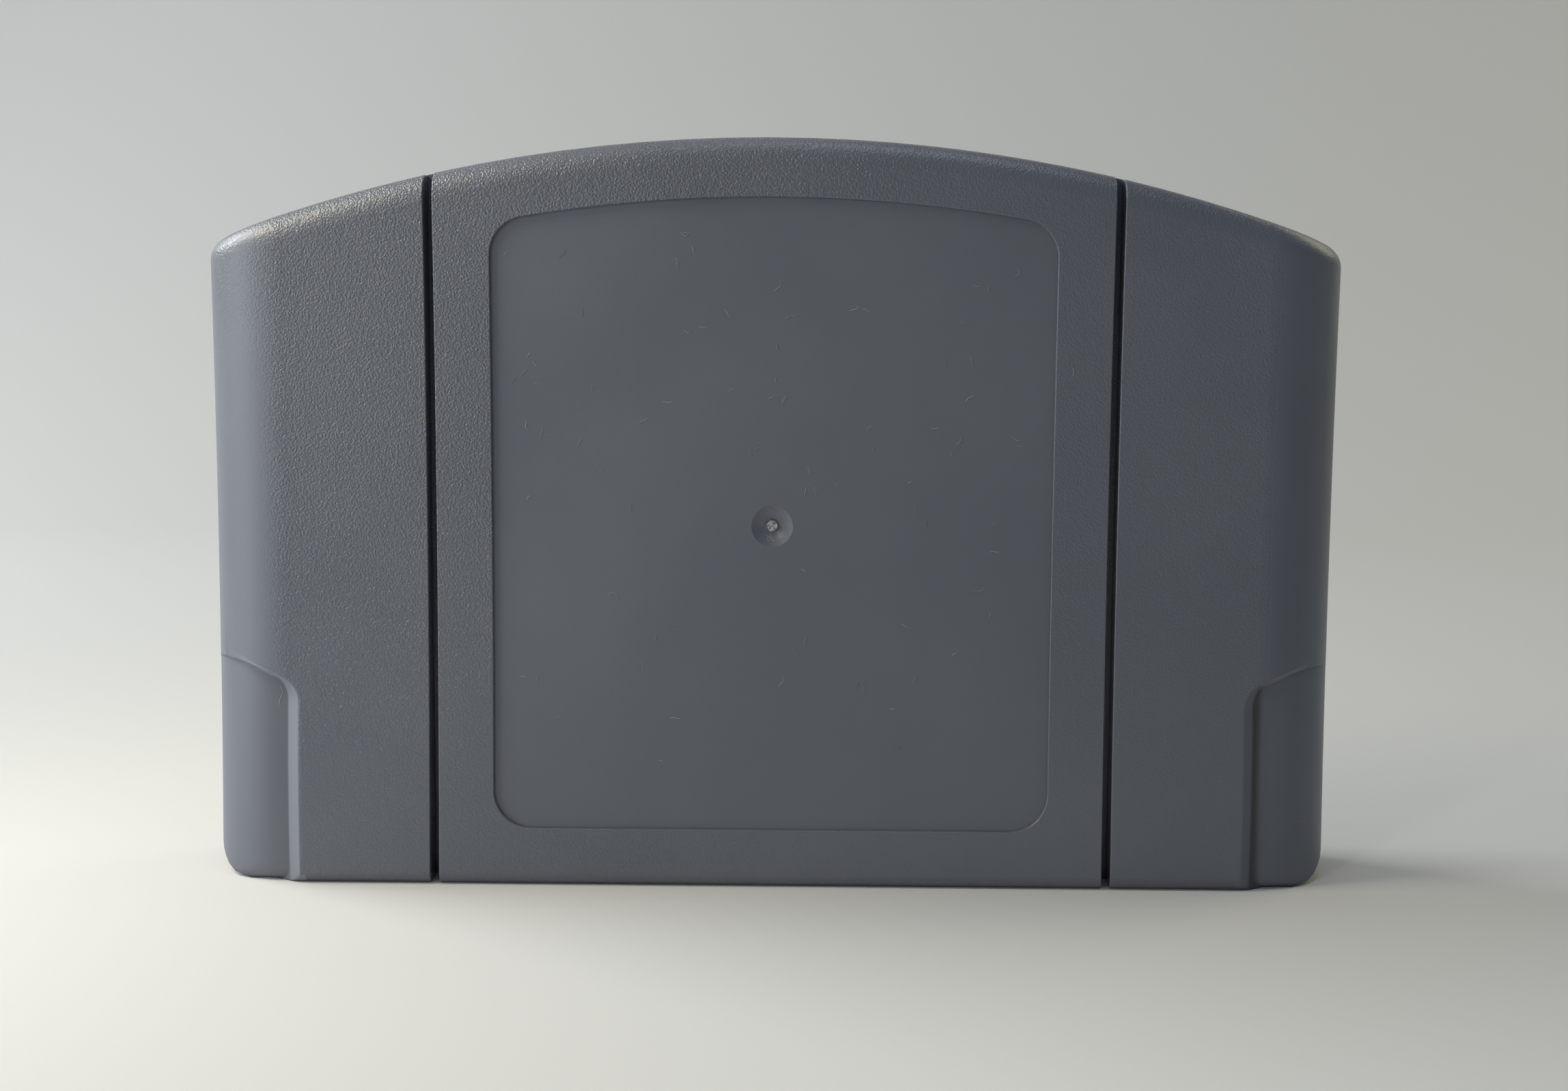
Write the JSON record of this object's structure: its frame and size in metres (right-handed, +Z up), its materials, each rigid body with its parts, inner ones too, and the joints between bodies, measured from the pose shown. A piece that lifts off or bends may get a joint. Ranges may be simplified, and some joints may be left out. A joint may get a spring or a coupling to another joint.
{
  "type": "game cartridge",
  "caption": "Flat game cartridge with an arched top, a bare label recess between two slits, stepped lower corners and a connector mouth in its base.",
  "frame": {"origin": "middle of the underside, in the plane where the front and rear halves meet", "axes": "+X to the right seen from the label side, +Y from the label side to the rear, +Z up"},
  "size_m": [0.116, 0.0185, 0.076],
  "materials": {
    "shell_plastic": "fine moulded grain",
    "screw_steel": "zinc plated",
    "board_laminate": "solder mask",
    "contact_gold": "gold plated",
    "tinned_sheet": "tinned",
    "chip_plastic": "moulded",
    "tinned_lead": "tinned",
    "capacitor_ceramic": "fired",
    "capacitor_resin": "moulded"
  },
  "bodies": {
    "root": {"front_shell": "shell_plastic", "rear_shell": "shell_plastic", "case_screws": "screw_steel", "circuit_board": "board_laminate", "front_contacts": "contact_gold", "rear_contacts": "contact_gold", "front_shield": "tinned_sheet", "rear_shield": "tinned_sheet", "shield_screws": "screw_steel", "rom_body": "chip_plastic", "rom_leads": "tinned_lead", "lockout_body": "chip_plastic", "lockout_leads": "tinned_lead", "save_memory_body": "chip_plastic", "save_memory_leads": "tinned_lead", "capacitor_bodies": "capacitor_ceramic", "capacitor_ends": "tinned_lead", "resistor_bodies": "chip_plastic", "resistor_ends": "tinned_lead", "smoothing_capacitor": "capacitor_resin", "smoothing_capacitor_ends": "tinned_lead"}
  },
  "joints": []
}
